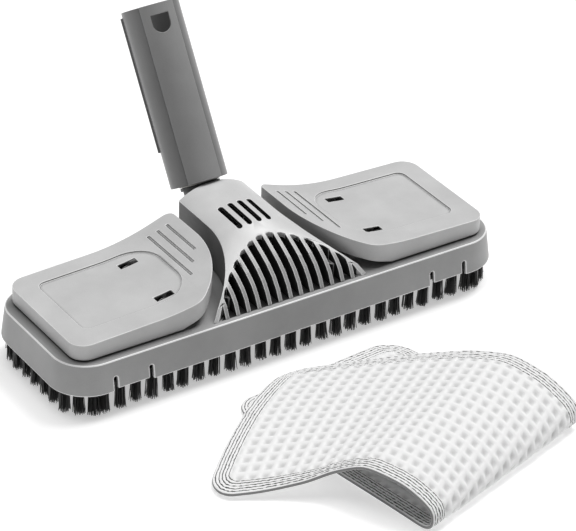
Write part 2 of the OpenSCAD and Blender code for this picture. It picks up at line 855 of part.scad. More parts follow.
module neck_yoke() {
    arm_y = foot_y - (foot_z - axle_z) * tan(neck_tilt);
    stem_l = (foot_z - axle_z) / cos(neck_tilt);
    color([0.42, 0.42, 0.42])
        difference() {
            union() {
                translate([-barrel_half, axle_y, axle_z]) rotate([0, 90, 0])
                    cylinder(h = 2 * barrel_half, r = barrel_r);
                translate([-barrel_half, axle_y, axle_z - arm_half + 0.4])
                    cube([2 * barrel_half, arm_y - axle_y, 2 * arm_half - 0.8]);
                translate([-barrel_half, arm_y, axle_z]) rotate([0, 90, 0])
                    cylinder(h = 2 * barrel_half, r = arm_half);
                at_foot() translate([0, 0, -stem_l]) cylinder(h = stem_l + spigot_top, r = spigot_r);
                at_foot() translate([0, 0, -3]) cylinder(h = 2 - lift, r = spigot_r + 1.3);
            }
            translate([-barrel_half - 1, axle_y, axle_z]) rotate([0, 90, 0])
                cylinder(h = 2 * barrel_half + 2, r = axle_r + seat);
            translate([0, axle_y, axle_z]) rotate([-90, 0, 0]) cylinder(h = arm_y - axle_y, r = 2.3);
            at_foot() translate([0, 0, -7]) cylinder(h = 8 + spigot_top, r = pipe_r + pipe_play);
            at_foot() translate([0, 0, -stem_l]) cylinder(h = stem_l, r = 2.7);
            for (a = ring_screws)
                at_foot() rotate([0, 0, a]) translate([ring_screw_at, 0, spigot_top - 6])
                    cylinder(h = 7, r = ring_screw_r);
        }
}

module swivel_ring() {
    color([0.5, 0.5, 0.5])
        at_foot()
            difference() {
                translate([0, 0, spigot_top]) ring(bush_r + 1, pipe_r + pipe_play, ring_t);
                for (a = ring_screws)
                    rotate([0, 0, a]) translate([ring_screw_at, 0, spigot_top - 1])
                        cylinder(h = ring_t + 2, r = ring_screw_r + hole_play);
            }
}

module swivel_ring_screws() {
    color([0.7, 0.7, 0.72])
        at_foot()
            for (a = ring_screws)
                rotate([0, 0, a]) translate([ring_screw_at, 0, spigot_top + ring_t]) rotate([180, 0, 0])
                    screw(ring_screw_r - seat, 7, 1.6, 1);
}

// The sector of a ring that the front panel fills
module panel_sector(r_in, r_out, z0, z1) {
    wide = 2 * r_out;
    translate([0, 0, z0])
        intersection() {
            ring(r_out, r_in, z1 - z0);
            translate([0, 0, -1]) linear_extrude(z1 - z0 + 2)
                polygon([[0, 0], [-wide * sin(panel_half), -wide * cos(panel_half)], [0, -wide],
                         [wide * sin(panel_half), -wide * cos(panel_half)]]);
        }
}

// The latch hole: flat on the side of the mouth, round below
module latch_hole() {
    r = latch_w / 2;
    z = tube_l - latch_in - r;
    translate([0, 0, z]) rotate([90, 0, 0]) cylinder(h = tube_r + 4, r = r);
    translate([-r, -tube_r - 4, z]) cube([latch_w, tube_r + 4, r]);
}

module neck_tube() {
    color([0.34, 0.34, 0.35])
        at_foot(neck_turn)
            difference() {
                union() {
                    cylinder(h = tube_l, r = tube_r);
                    for (s = [-1, 1])
                        rotate([0, 0, s * seam_angle]) translate([-0.8, -tube_r - 1.3, seam_z])
                            cube([1.6, 3, tube_l - seam_z - 3]);
                }
                translate([0, 0, 18]) cylinder(h = tube_l, r = inner_r);
                translate([0, 0, tube_l - socket_depth]) cylinder(h = socket_depth + 1, r = socket_r);
                translate([0, 0, end_wall]) cylinder(h = 11, r = inner_r);
                translate([0, 0, -1]) cylinder(h = 20, r = bush_r + seat);
                translate([0, 0, tube_l - 1.2]) cylinder(h = 1.3, r1 = socket_r, r2 = socket_r + 1.3);
                panel_sector(tube_r - panel_seat, tube_r + 4, -1, tube_l + 1);
                latch_hole();
            }
    color([0.34, 0.34, 0.35])
        at_foot(neck_turn)
            translate([0, 0, web_z])
                difference() {
                    cylinder(h = web_t, r = inner_r + 0.2);
                    translate([0, 0, -1]) cylinder(h = web_t + 2, r = pipe_r + seat);
                    for (a = [45:90:315])
                        rotate([0, 0, a]) translate([(inner_r + pipe_r) / 2 + 0.2, 0, -1])
                            cylinder(h = web_t + 2, r = 2.4);
                }
}

module neck_front_panel() {
    color([0.5, 0.5, 0.51])
        at_foot(neck_turn)
            difference() {
                panel_sector(tube_r - panel_seat + seat, tube_r + 0.25, 0, tube_l);
                latch_hole();
            }
}

module swivel_bush() {
    color([0.9, 0.9, 0.88])
        at_foot()
            difference() {
                union() {
                    translate([0, 0, -0.8]) cylinder(h = end_wall + 1.3, r = bush_r);
                    translate([0, 0, end_wall + seat]) cylinder(h = 0.9, r = bush_r + 1.2);
                }
                translate([0, 0, -3]) cylinder(h = 12, r = spigot_r + slip);
            }
}

module neck_steam_pipe() {
    color([0.8, 0.8, 0.78])
        at_foot()
            difference() {
                translate([0, 0, -6]) ring(pipe_r, pipe_r - pipe_t, pipe_l + 6);
                for (z = pipe_seals_z)
                    translate([0, 0, z - 0.8]) ring(pipe_r + 1, pipe_r - pipe_play, 1.6);
            }
}

module pipe_seals() {
    color([0.15, 0.15, 0.15])
        at_foot()
            for (z = pipe_seals_z)
                translate([0, 0, z]) torus(pipe_r - pipe_play + pipe_seal_r, pipe_seal_r);
}

// ---------- cloth ----------

// Outline of one layer seen from above, from the fold to a far hem at its lean and turn
module layer_plan(run, lean, turn, bow_in = 0, bow_out = 0) {
    half = cloth_w / 2;
    mid = [-run * sin(lean), run * cos(lean)];
    hem = [(half - 6) * cos(turn), (half - 6) * sin(turn)];
    steps = [0:0.125:1];
    right = [for (t = steps) [half, 0] * (1 - t) + (mid + hem) * t + [bow_out * sin(180 * t), 0]];
    left = [for (t = steps) (mid - hem) * (1 - t) + [-half, 0] * t + [bow_in * sin(180 * t), 0]];
    polygon(concat(right, left));
}

// Height of the upper layer's top at a distance behind the fold
function loop_top(v, reach) =
    2 * layer_t + (v < reach ? (loop_h - 2 * layer_t) * sin(180 * pow(v / reach, 0.686)) : 0);

// The upper layer between two places along the fold: up over the loop, then flat
module loop_band(u0, u1, reach) {
    end = 2 * cloth_run;
    over = [for (v = [0:reach / 16:reach]) [v, loop_top(v, reach)]];
    under = [for (v = [reach - layer_t:-reach / 16:layer_t]) [v, max(layer_t - eps, loop_top(v, reach) - layer_t)]];
    along_x(u0, u1)
        polygon(concat([[-1, 0], [-1, 2 * layer_t + 1]], over,
                       [[end, 2 * layer_t], [end, layer_t - eps]], under, [[layer_t, layer_t - 1]]));
}

module cleaning_cloth() {
    color([0.96, 0.96, 0.96])
        translate([cloth_shift, -rim_y - cloth_out, 0]) rotate([0, 0, cloth_turn]) {
            linear_extrude(layer_t) layer_plan(cloth_run, lower_lean, lower_turn);
            intersection() {
                linear_extrude(2 * loop_h) layer_plan(cloth_run + 5, upper_lean, upper_turn, left_bow, right_bow);
                union() {
                    loop_band(-2 * cloth_w, -cloth_w / 4, loop_left);
                    loop_band(-cloth_w / 4, 2 * cloth_w, loop_right);
                }
            }
        }
}

base_housing();
brush_plate();
bristles_front();
bristles_rear();
bristles_left_end();
bristles_right_end();
bristles_inner();
steam_chamber();
chamber_gasket();
steam_inlet();
plate_screws();
vented_cover();
cover_screws();
bearing_cap_left();
bearing_cap_right();
bearing_cap_screws();
clamp_pin_left();
clamp_pin_right();
clamp_spring_left();
clamp_spring_right();
clamp_left();
clamp_right();
neck_yoke();
tilt_axle();
axle_seals();
swivel_ring();
swivel_ring_screws();
neck_tube();
neck_front_panel();
swivel_bush();
neck_steam_pipe();
pipe_seals();
cleaning_cloth();
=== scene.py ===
import json
import math
import random

import bmesh
import bpy
import numpy as np
from mathutils import Matrix, Vector
from mathutils.bvhtree import BVHTree


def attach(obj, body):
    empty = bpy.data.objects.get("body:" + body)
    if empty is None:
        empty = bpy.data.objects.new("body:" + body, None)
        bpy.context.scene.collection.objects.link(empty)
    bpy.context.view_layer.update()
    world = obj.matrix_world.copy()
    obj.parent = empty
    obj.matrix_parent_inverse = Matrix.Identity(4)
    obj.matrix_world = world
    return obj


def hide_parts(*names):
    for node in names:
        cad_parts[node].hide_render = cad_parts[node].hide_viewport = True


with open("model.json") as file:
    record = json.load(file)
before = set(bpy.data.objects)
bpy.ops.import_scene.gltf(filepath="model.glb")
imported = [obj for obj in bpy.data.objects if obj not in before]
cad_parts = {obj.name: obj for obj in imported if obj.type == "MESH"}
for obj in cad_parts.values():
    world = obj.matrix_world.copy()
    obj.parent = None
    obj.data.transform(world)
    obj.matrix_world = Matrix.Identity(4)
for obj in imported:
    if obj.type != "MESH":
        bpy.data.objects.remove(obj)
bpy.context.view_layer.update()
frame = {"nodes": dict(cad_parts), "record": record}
NODES = frame["nodes"]

MM = 0.001
DECK_Z = 33.5 * MM            # the housing's deck above the floor
COVER_TOE = -42.0 * MM        # the front edge of the cover
WHITE = (1.0, 1.0, 1.0, 1.0)


# ---------------------------------------------------------------- materials

class Nodes:
    """A new material's node tree, with short calls for the nodes that every recipe here uses."""

    def __init__(self, name):
        self.mat = bpy.data.materials.new(name)
        self.mat.use_nodes = True
        self.tree = self.mat.node_tree
        self.shader = self.tree.nodes["Principled BSDF"]
        self.coords = self.tree.nodes.new("ShaderNodeTexCoord").outputs["Object"]

    def add(self, kind, links=(), **values):
        node = self.tree.nodes.new("ShaderNode" + kind)
        for key, value in values.items():
            if hasattr(node, key):
                setattr(node, key, value)
            else:
                node.inputs[key.replace("_", " ")].default_value = value
        for socket, source in dict(links).items():
            self.tree.links.new(source, node.inputs[socket])
        return node

    def link(self, source, socket):
        self.tree.links.new(source, self.shader.inputs[socket])

    def noise(self, scale, detail=3.0, rough=0.5, coords=None):
        return self.add("TexNoise", {"Vector": coords or self.coords},
                        Scale=scale, Detail=detail, Roughness=rough).outputs["Fac"]

    def ramp(self, fac, stops):
        node = self.add("ValToRGB", {"Fac": fac})
        ramp = node.color_ramp
        while len(ramp.elements) < len(stops):
            ramp.elements.new(0.5)
        for element, (place, colour) in zip(ramp.elements, stops):
            element.position = place
            element.color = (*colour, 1.0) if len(colour) == 3 else colour
        return node.outputs["Color"]

    def math(self, operation, a, b=0.0, c=0.0):
        node = self.tree.nodes.new("ShaderNodeMath")
        node.operation = operation
        for socket, value in zip(node.inputs, (a, b, c)):
            if isinstance(value, (int, float)):
                socket.default_value = value
            else:
                self.tree.links.new(value, socket)
        return node.outputs[0]

    def mixed(self, factor, first, second, blend="MIX"):
        """Two colours mixed. The factor and the second colour are sockets or fixed values."""
        mix = self.add("Mix", data_type="RGBA", blend_type=blend)
        first_socket, second_socket = mix.inputs[6], mix.inputs[7]
        self.tree.links.new(first, first_socket)
        if isinstance(second, tuple):
            second_socket.default_value = (*second, 1.0)
        else:
            self.tree.links.new(second, second_socket)
        if isinstance(factor, float):
            mix.inputs["Factor"].default_value = factor
        else:
            self.tree.links.new(factor, mix.inputs["Factor"])
        return mix.outputs[2]

    def occlusion_shade(self, colour, reach=9 * MM, depth=0.2, stops=(0.12, 0.42, 0.8)):
        """The colour, darker in crevices narrower than reach, in metres: painted shade where less light gets
        in.
        """
        # Painted shade: ambient occlusion darkens the colour in crevices.
        near = self.add("AmbientOcclusion", Distance=reach, samples=8).outputs["AO"]
        shade = self.ramp(near, list(zip(stops, (grey(depth), grey(0.62), grey(1.0)))))
        return self.mixed(1.0, colour, shade, "MULTIPLY")

    def bump(self, height, strength, distance, normal=None):
        links = {"Height": height}
        if normal:
            links["Normal"] = normal
        return self.add("Bump", links, Strength=strength, Distance=distance).outputs["Normal"]


def grey(value, tint=(1.0, 1.0, 1.0)):
    return tuple(value * t for t in tint)


def mottle(n, low, high):
    """The colour of moulded plastic, with the broad flow marks that also show in its surface."""
    flow = n.noise(38, 4, 0.55)
    speck = n.noise(2600, 2, 0.6)
    both = n.math("MULTIPLY_ADD", speck, 0.35, n.math("MULTIPLY", flow, 0.65))
    return flow, n.ramp(both, [(0.36, low), (0.64, high)])


def moulded_surface(n, flow, rough, grain=0.25):
    """Uneven sheen, fine spark grain and faint flow marks."""
    n.link(n.math("MULTIPLY_ADD", n.noise(120, 3), 0.16, rough - 0.08), "Roughness")
    fine = n.bump(n.noise(3400, 2, 0.5), grain, 0.06 * MM)
    n.link(n.bump(flow, 0.12, 0.4 * MM, fine), "Normal")


def moulded_plastic(name, low, high, rough=0.42, tint=(1.0, 1.0, 1.0), spec=0.5, groove_shade_reach=None):
    """Spark-grained moulded plastic with painted shade in its corners. Its grooves, if their reach is
    given, in metres, get darker painted shade still."""
    n = Nodes(name)
    flow, body = mottle(n, grey(low, tint), grey(high, tint))
    # Painted shade in the corners.
    body = n.occlusion_shade(body)
    # Darker painted shade in the grooves.
    if groove_shade_reach:
        body = n.occlusion_shade(body, groove_shade_reach, 0.05, (0.6, 0.8, 0.95))
    n.link(body, "Base Color")
    moulded_surface(n, flow, rough)
    n.shader.inputs["Specular IOR Level"].default_value = spec
    return n.mat


def turned_metal(name, low, high, rough):
    """Metal with fine machining marks and slight tarnish."""
    n = Nodes(name)
    n.link(n.ramp(n.noise(900, 3), [(0.3, low), (0.7, high)]), "Base Color")
    n.link(n.math("MULTIPLY_ADD", n.noise(400, 4), 0.2, rough - 0.1), "Roughness")
    n.link(n.bump(n.noise(5000, 2), 0.15, 0.03 * MM), "Normal")
    n.shader.inputs["Metallic"].default_value = 1.0
    return n.mat


def silicone(name, low, high):
    """Soft seal rubber with a dull, slightly uneven skin."""
    n = Nodes(name)
    n.link(n.ramp(n.noise(500, 3), [(0.3, low), (0.7, high)]), "Base Color")
    n.link(n.math("MULTIPLY_ADD", n.noise(900, 2), 0.15, 0.45), "Roughness")
    n.link(n.bump(n.noise(2500, 2), 0.2, 0.04 * MM), "Normal")
    return n.mat


def housing_plastic():
    """The housing's grey plastic, with painted shade, near black, where no light gets in: under the cover and
    around each lug.
    """
    waist = 19.5 * MM             # half the cover's width at its middle
    flare = 15.0                  # how fast it widens towards the toe
    lug_x = 60 * MM
    edge = 0.4 * MM
    n = Nodes("housing_plastic")
    # The housing's grey is set darker than the clamps' same plastic: painted shade on its walls.
    flow, body = mottle(n, grey(0.32), grey(0.375))
    body = n.occlusion_shade(body)
    place = n.add("SeparateXYZ", {"Vector": n.coords}).outputs
    side = n.math("ABSOLUTE", place["X"])
    forward = n.math("MAXIMUM", n.math("MULTIPLY", place["Y"], -1.0), 0.0)
    half = n.math("MULTIPLY_ADD", n.math("MULTIPLY", forward, forward), flare, waist)
    on_deck = n.math("GREATER_THAN", place["Z"], DECK_Z - edge)
    # Painted shade, near black, on the deck under the cover.
    under = n.math("MULTIPLY", n.math("LESS_THAN", side, half), on_deck)
    under = n.math("MULTIPLY", under, n.math("GREATER_THAN", place["Y"], COVER_TOE + edge))
    raised = n.math("GREATER_THAN", place["Z"], DECK_Z + 2 * MM)
    # Painted shade, near black, around each lug.
    lug_shade = n.math("MULTIPLY", n.math("GREATER_THAN", side, lug_x), raised)
    n.link(n.mixed(n.math("MAXIMUM", under, lug_shade), body, grey(0.022)), "Base Color")
    moulded_surface(n, flow, 0.44)
    return n.mat


def cover_plastic():
    """The cover's pale plastic, with painted shade that greys the ribs across its vent."""
    vent_half = 46.4 * MM         # half the vent's width at the toe
    vent_run = 30 * MM            # how far the middle of the vent runs back
    arch = 1.85                   # the power of the vent's arch
    n = Nodes("cover_plastic")
    flow, body = mottle(n, grey(0.56), grey(0.64))
    place = n.add("SeparateXYZ", {"Vector": n.coords}).outputs
    share = n.math("DIVIDE", n.math("ABSOLUTE", place["X"]), vent_half)
    reach = n.math("MULTIPLY", n.math("SUBTRACT", 1.0, n.math("POWER", share, arch)), vent_run)
    over = n.math("SUBTRACT", n.math("ADD", reach, COVER_TOE), place["Y"])
    fade = n.math("MINIMUM", n.math("MAXIMUM", n.math("DIVIDE", over, 3 * MM), 0.0), 1.0)
    # Painted shade on the rib tops across the vent.
    rib_shade = n.mixed(n.math("MULTIPLY", fade, 0.6), body, grey(0.17))
    n.link(n.occlusion_shade(rib_shade), "Base Color")
    moulded_surface(n, flow, 0.36)
    return n.mat


HOUSING = housing_plastic()
CLAMP = moulded_plastic("clamp_plastic", 0.50, 0.58, groove_shade_reach=2.2 * MM)
COVER = cover_plastic()
# Paler copies of the plastics for the rounded edges: painted highlights.
HOUSING_EDGE_HIGHLIGHT = moulded_plastic("housing_plastic_edge_highlight", 0.76, 0.88, rough=0.3)
CLAMP_EDGE_HIGHLIGHT = moulded_plastic("clamp_plastic_edge_highlight", 0.70, 0.80, rough=0.3)
COVER_EDGE_HIGHLIGHT = moulded_plastic("cover_plastic_edge_highlight", 0.80, 0.88, rough=0.3)
# Dark copies of the cover plastic: painted shade on its steep sides and inside it.
COVER_SIDE_SHADE = moulded_plastic("cover_plastic_side_shade", 0.13, 0.17, rough=0.45, spec=0.3)
COVER_INSIDE_SHADE = moulded_plastic("cover_plastic_inside_shade", 0.035, 0.06, rough=0.6, spec=0.2)
NECK = moulded_plastic("neck_plastic", 0.17, 0.205, rough=0.34)
PANEL = moulded_plastic("neck_panel_plastic", 0.27, 0.31, rough=0.36)
DARK = moulded_plastic("dark_plastic", 0.045, 0.065, rough=0.5)
NATURAL = moulded_plastic("natural_plastic", 0.66, 0.74, rough=0.4, tint=(1.0, 0.98, 0.92))
# Near black steel for the clamp pins: painted shade in the slots they sit in.
PIN_STEEL_SHADE = turned_metal("pin_steel_painted_shade", (0.05, 0.05, 0.05), (0.09, 0.09, 0.09), 0.45)
STEEL = turned_metal("zinc_steel", (0.52, 0.52, 0.54), (0.64, 0.64, 0.66), 0.34)
BRASS = turned_metal("turned_brass", (0.62, 0.46, 0.22), (0.74, 0.58, 0.32), 0.3)
SEAL = silicone("seal_rubber", (0.24, 0.07, 0.03), (0.32, 0.11, 0.05))

FINISH = {
    "housing_plastic": HOUSING, "clamp_plastic": CLAMP, "cover_plastic": COVER,
    "neck_plastic": NECK, "dark_plastic": DARK, "natural_plastic": NATURAL,
    "steel": STEEL, "brass": BRASS, "seal_rubber": SEAL,
}


def paint(obj, material):
    obj.data.materials.clear()
    obj.data.materials.append(material)


def paint_nodes():
    """Every CAD node takes the finish of its slot in the record."""
    for part in frame["record"]["subparts"]:
        material = FINISH.get(part["material_slot"])
        if material:
            paint(NODES[part["node"]], material)
    paint(NODES["neck_front_panel"], PANEL)
    # The pins are painted near black: painted shade in their slots.
    for side in ("left", "right"):
        paint(NODES["clamp_pin_" + side], PIN_STEEL_SHADE)
    # Painted shade inside the cover and on its steep sides.
    shade_inside("vented_cover", COVER_INSIDE_SHADE, COVER_SIDE_SHADE)


def shade_inside(node, inside, side):
    """Paints shade on a node: its faces that look at its own other walls take one dark finish, and its steep
    outer sides another.
    """
    clear = 0.05 * MM
    sight = 45 * MM
    steep = 0.7
    data = NODES[node].data
    data.materials.append(inside)
    data.materials.append(side)
    tree = BVHTree.FromPolygons([v.co for v in data.vertices], [tuple(p.vertices) for p in data.polygons])
    # Painted shade: faces that look at another wall of the node, then steep sides facing left or right.
    for poly in data.polygons:
        hit = tree.ray_cast(poly.center + poly.normal * clear, poly.normal, sight)
        if hit[0]:
            poly.material_index = 1
        elif abs(poly.normal.x) > steep:
            poly.material_index = 2
        else:
            poly.material_index = 0


# ---------------------------------------------------------------- moulded edges

def soften(node, width, segments=3, angle=32, edge_highlight=None, join=0.02):
    """Rounds a CAD node's sharp edges, as its mould does, with a painted highlight in a paler finish on them.
    Width is the bevel's and join is the least length of an edge, both in mm. The node's own mesh
    stays as it is."""
    obj = NODES[node]
    if edge_highlight:
        obj.data.materials.append(edge_highlight)
    weld = obj.modifiers.new("weld", "WELD")
    weld.merge_threshold = join * MM
    flat = obj.modifiers.new("flat", "DECIMATE")
    flat.decimate_type = "DISSOLVE"
    flat.angle_limit = math.radians(0.6)
    flat.delimit = {"MATERIAL"}
    bevel = obj.modifiers.new("edges", "BEVEL")
    bevel.width = width * MM
    bevel.segments = segments
    bevel.limit_method = "ANGLE"
    bevel.angle_limit = math.radians(angle)
    bevel.use_clamp_overlap = False
    # The rounds take the paler finish: a painted highlight along the edges.
    if edge_highlight:
        bevel.material = len(obj.data.materials) - 1
    for poly in obj.data.polygons:
        poly.use_smooth = True
    smooth = obj.modifiers.new("normals", "WEIGHTED_NORMAL")
    smooth.keep_sharp = True
    smooth.weight = 80


# ---------------------------------------------------------------- bristles

TUFTS = ("bristles_front", "bristles_rear", "bristles_left_end", "bristles_right_end", "bristles_inner")
FILAMENTS = 74                # in each tuft
ROOT_Z = 17.0 * MM            # where they leave the brush plate
ROOT_R = 2.8 * MM
SPLAY = 0.95 * MM             # how far the outermost tips may lean out
FILAMENT_R = 0.29 * MM
GOLDEN_ANGLE = 2.39996        # spreads the roots evenly over the tuft's round


def nylon():
    """Black nylon filament: paler and rougher at its abraded tips, with a slight streak along it."""
    n = Nodes("bristle_nylon")
    height = n.add("SeparateXYZ", {"Vector": n.coords}).outputs["Z"]
    streak = n.noise(1400, 2, 0.5)
    shade = n.math("MULTIPLY_ADD", height, -16.0, n.math("MULTIPLY_ADD", streak, 0.5, 0.35))
    n.link(n.ramp(shade, [(0.2, grey(0.010)), (0.62, grey(0.030)), (0.85, grey(0.075))]), "Base Color")
    n.link(n.math("MULTIPLY_ADD", streak, 0.2, 0.28), "Roughness")
    n.shader.inputs["Specular IOR Level"].default_value = 0.55
    return n.mat


def tuft_centres(node):
    """Where each tuft of a CAD bristle node stands, in metres."""
    bm = bmesh.new()
    bm.from_mesh(NODES[node].data)
    bm.transform(NODES[node].matrix_world)
    bmesh.ops.remove_doubles(bm, verts=bm.verts, dist=0.00001)
    centres, seen = [], set()
    for first in bm.verts:
        if first in seen:
            continue
        group, todo = [], [first]
        seen.add(first)
        while todo:
            vert = todo.pop()
            group.append(vert.co)
            for edge in vert.link_edges:
                other = edge.other_vert(vert)
                if other not in seen:
                    seen.add(other)
                    todo.append(other)
        middle = sum(group, Vector()) / len(group)
        centres.append((middle.x, middle.y))
    bm.free()
    return centres


def filament(verts, faces, root, tip, bow):
    """One tapered three-sided filament that bows on its way from root to tip."""
    rings = 5
    sides = 3
    taper = 0.35
    base = len(verts)
    for i in range(rings):
        t = i / (rings - 1)
        middle = root.lerp(tip, t) + bow * (t * (1 - t) * 4)
        radius = FILAMENT_R * (1.0 - taper * t)
        for k in range(sides):
            a = 2 * math.pi * k / sides
            verts.append((middle.x + radius * math.cos(a), middle.y + radius * math.sin(a), middle.z))
    for i in range(rings - 1):
        for k in range(sides):
            a, b = base + i * sides + k, base + i * sides + (k + 1) % sides
            faces.append((a, a + sides, b + sides, b))
    faces.append(tuple(base + k for k in range(sides)))
    faces.append(tuple(base + (rings - 1) * sides + k for k in reversed(range(sides))))


def bristles(node, material, draw):
    """A CAD bristle node's tufts as bundles of splayed filaments, cut nearly level."""
    verts, faces = [], []
    for x, y in tuft_centres(node):
        lean = Vector((draw.gauss(0, 0.35), draw.gauss(0, 0.35), 0)) * MM
        cut_z = draw.uniform(0.1, 1.1) * MM
        for k in range(FILAMENTS):
            a = GOLDEN_ANGLE * k
            out = math.sqrt((k + 0.5) / FILAMENTS)
            side = Vector((math.cos(a), math.sin(a), 0))
            root = Vector((x, y, ROOT_Z)) + side * (out * ROOT_R)
            spread = out * (ROOT_R + SPLAY * draw.uniform(0.25, 1.0))
            stray = Vector((draw.gauss(0, 0.28), draw.gauss(0, 0.28), 0)) * MM
            ragged = abs(draw.gauss(0, 0.55)) * MM
            tip = Vector((x, y, cut_z + ragged)) + side * spread + lean + stray
            bow = side * draw.uniform(-0.45, 0.1) * MM
            filament(verts, faces, root, tip, bow)
    mesh = bpy.data.meshes.new(node + "_filaments")
    mesh.from_pydata(verts, [], faces)
    obj = bpy.data.objects.new(node + "_filaments", mesh)
    bpy.context.scene.collection.objects.link(obj)
    paint(obj, material)
    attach(obj, "head")
    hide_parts(node)


def make_bristles():
    """All the tufts, drawn from one run of random numbers."""
    draw = random.Random(7)
    material = nylon()
    for node in TUFTS:
        bristles(node, material, draw)


# ---------------------------------------------------------------- cleaning cloth

# The cloth's sizes are in mm.
CLOTH_W = 124.0           # cut width
CLOTH_L = 300.0           # cut length, before the fold
CLOTH_CORNER = 16.0
HEM = 9.6
WAFFLE = 6.9              # spacing of the pits
STITCH_STEP = 1.75
THREAD_TURN = 7.7         # phase of the fine threads for each mm, in radians
PIT = 0.25                # half the cloth's thickness in a pit
RIDGE = 1.35              # and how much a ridge adds to it
HEM_HALF = 1.12           # half the hem's thickness
STITCH_SINK = 0.34        # how far a row of stitches sinks into it

# The two long edges of the cloth, from the lower layer's far hem, round the fold and back
# over the loop to the upper layer's far hem: along the fold, behind it, and height, in mm.
# Places with the same number face each other across the cloth.
LEFT_EDGE = [(-49.5, 152, 1.3), (-58, 76, 1.3), (-66, 12, 1.3), (-67.5, 3, 2.0), (-68, -2, 6),
             (-67, -1, 12), (-67.5, 8, 18.5), (-69, 22, 23.0), (-71, 38, 24), (-76, 54, 18),
             (-88, 69, 9.5), (-106, 88, 3.6), (-123, 105, 1.6)]
RIGHT_EDGE = [(61.5, 128, 1.3), (62, 68, 1.3), (62.4, 12, 1.3), (62.8, 3, 2.0), (63.2, -2, 6.5),
              (63.2, -0.5, 13), (63.5, 9, 19.5), (64.5, 24, 24), (65, 42, 25.5), (61, 62, 22.5),
              (50, 88, 15.5), (24, 121, 8), (-7, 149, 3.8)]
LOWER_OUTLINE = [(-67.5, 2), (63, 2), (61.5, 128), (-49.5, 152)]
HEM_BOW = (7.0, 10.0)             # how far the middle of the upper hem bows out
CLOTH_ORIGIN = (31.0, -205.25)    # the middle of the fold, and the fold's turn in degrees
CLOTH_TURN = 17.0
FLOOR_LAYER = 1.32                # least height of the middle surface
UPPER_LAYER = 1.35                # the same for the upper layer beside the lower one
LOWER_DEPTH = 2.6                 # what it gains by lying on the lower one


def smooth_edge(points):
    """A smooth curve through the points: the run along it, then place and point number on each row."""
    p = np.column_stack([np.array(points, float), np.arange(len(points))])
    at = np.concatenate([[0], np.cumsum(np.linalg.norm(np.diff(p[:, :3], axis=0), axis=1))])
    slope = np.diff(p, axis=0) / np.diff(at)[:, None]
    tangent = np.zeros_like(p)
    tangent[0], tangent[-1] = slope[0], slope[-1]
    before, after = slope[:-1], slope[1:]
    same = before * after > 0
    tangent[1:-1] = np.where(same, 2 * before * after / np.where(same, before + after, 1), 0)
    samples = 1200
    fine = np.linspace(0, at[-1], samples)
    k = np.clip(np.searchsorted(at, fine, "right") - 1, 0, len(at) - 2)
    h = (at[k + 1] - at[k])[:, None]
    t = (fine - at[k])[:, None] / h
    curve = ((2 * t**3 - 3 * t**2 + 1) * p[k] + (t**3 - 2 * t**2 + t) * h * tangent[k]
             + (3 * t**2 - 2 * t**3) * p[k + 1] + (t**3 - t**2) * h * tangent[k + 1])
    window = 24
    pad = np.vstack([2 * curve[0] - curve[window:0:-1], curve, 2 * curve[-1] - curve[-2:-window - 2:-1]])
    kernel = np.hanning(2 * window + 1)
    kernel /= kernel.sum()
    curve = np.stack([np.convolve(pad[:, i], kernel, "valid") for i in range(4)], axis=1)
    run = np.concatenate([[0], np.cumsum(np.linalg.norm(np.diff(curve[:, :3], axis=0), axis=1))])
    return run, curve


def graded(length, fine, coarse, band):
    """Places from 0 to length, closer together within a band at both ends."""
    edge = np.arange(0, band, fine)
    inner = np.linspace(band, length - band, int((length - 2 * band) / coarse))
    return np.concatenate([edge, inner, length - edge[::-1]])


def step(x, low, high):
    """0 up to low, 1 from high, and smooth between."""
    t = np.clip((x - low) / (high - low), 0, 1)
    return t * t * (3 - 2 * t)


def hem_distance(x, y):
    """Distance in from the cut edge of the flat cloth, whose corners are rounded."""
    dx = np.abs(x - CLOTH_W / 2) - (CLOTH_W / 2 - CLOTH_CORNER)
    dy = np.abs(y - CLOTH_L / 2) - (CLOTH_L / 2 - CLOTH_CORNER)
    outside = np.hypot(np.maximum(dx, 0), np.maximum(dy, 0))
    return CLOTH_CORNER - outside - np.minimum(np.maximum(dx, dy), 0)


def over_lower_layer(u, v):
    """How far inside the lower layer's outline a place is; negative outside."""
    inside = np.full(u.shape, 1e9)
    for (u0, v0), (u1, v1) in zip(LOWER_OUTLINE, LOWER_OUTLINE[1:] + LOWER_OUTLINE[:1]):
        length = math.hypot(u1 - u0, v1 - v0)
        inside = np.minimum(inside, ((u1 - u0) * (v - v0) - (v1 - v0) * (u - u0)) / length)
    return inside


def relief(x, y, edge):
    """(half thickness, waffle height 0 to 1) of the cloth at a flat place."""
    cell_x = np.abs(((x - CLOTH_W / 2) / WAFFLE) % 1 - 0.5) * 2
    cell_y = np.abs(((y - CLOTH_L / 2) / WAFFLE) % 1 - 0.5) * 2
    waffle = np.clip((np.maximum(cell_x, cell_y) - 0.12) / 0.72, 0, 1) ** 1.15
    inner = PIT + RIDGE * waffle
    wobble = 0.16 * np.sin(x * 1.9 + 0.7 * np.sin(y * 0.8)) + 0.16 * np.sin(y * 1.7 + 0.9 * np.sin(x * 0.7))
    stitch = np.abs(((edge + wobble) / STITCH_STEP) % 1 - 0.5) * 2
    band = HEM_HALF - STITCH_SINK * step(stitch, 0.55, 1.0)
    rim = np.clip(edge / 1.3, 0, 1)
    rounded = np.sqrt(rim * (2 - rim))
    blend = step(edge, HEM - 0.6, HEM + 0.9)
    half = (band * (1 - blend) + inner * blend) * np.maximum(rounded, 0.02)
    return half, waffle * blend + 0.8 * (1 - blend)


